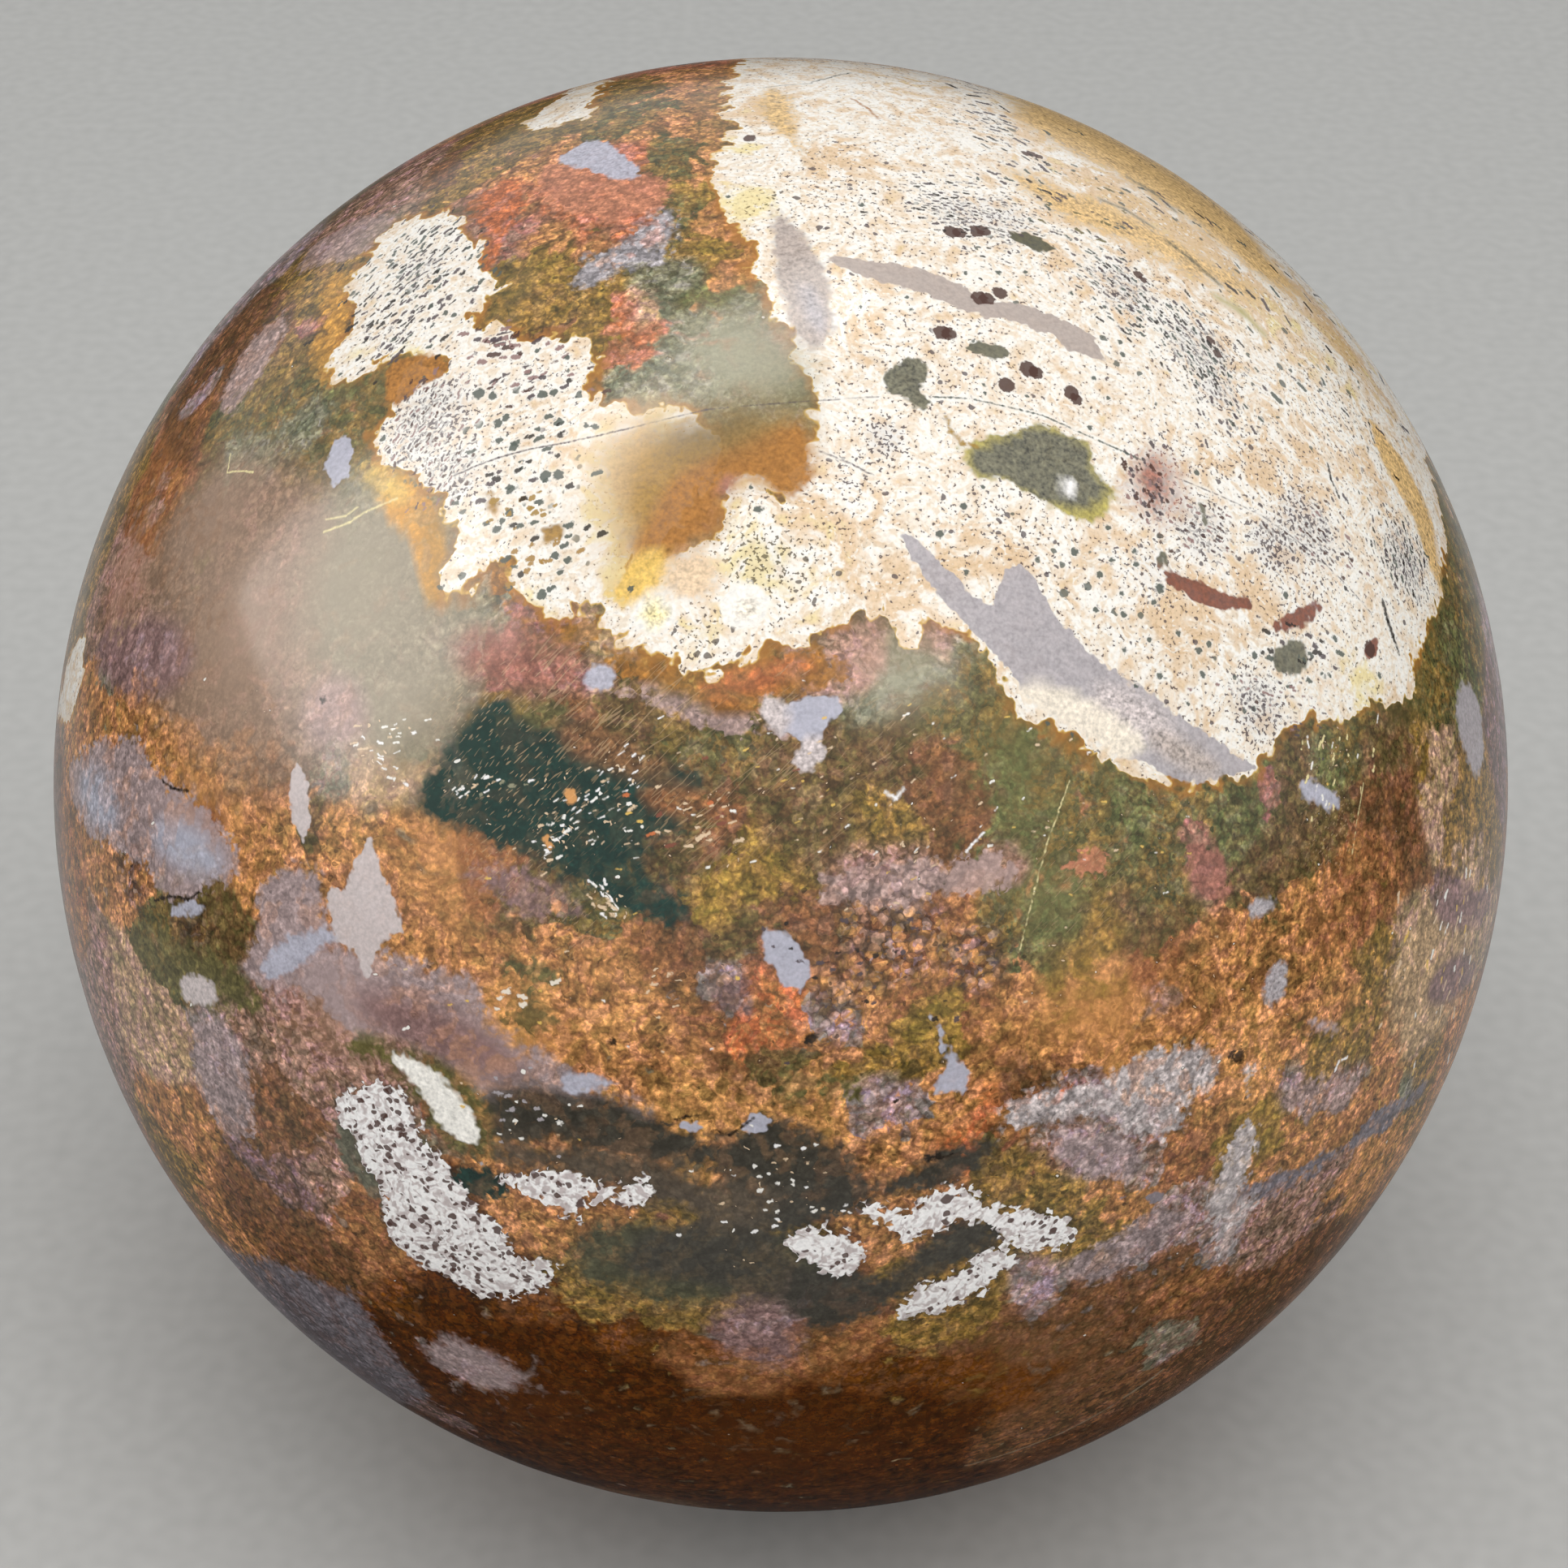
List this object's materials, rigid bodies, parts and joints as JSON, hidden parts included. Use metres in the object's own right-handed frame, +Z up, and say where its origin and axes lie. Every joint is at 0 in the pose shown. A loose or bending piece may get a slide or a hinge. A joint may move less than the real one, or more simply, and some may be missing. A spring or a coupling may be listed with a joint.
{
  "type": "ocean jasper sphere",
  "caption": "Polished ball of orbicular jasper in cream, amber, green and brown, standing on a small flat ground at its base.",
  "frame": {"origin": "centre of the small flat at the ball's base", "axes": "+Z up through the ball's centre; -Y towards the side that the picture shows, +X to its right"},
  "size_m": [0.08, 0.08, 0.0797],
  "materials": {
    "jasper": "polished"
  },
  "bodies": {
    "root": {"sphere": "jasper"}
  },
  "joints": []
}
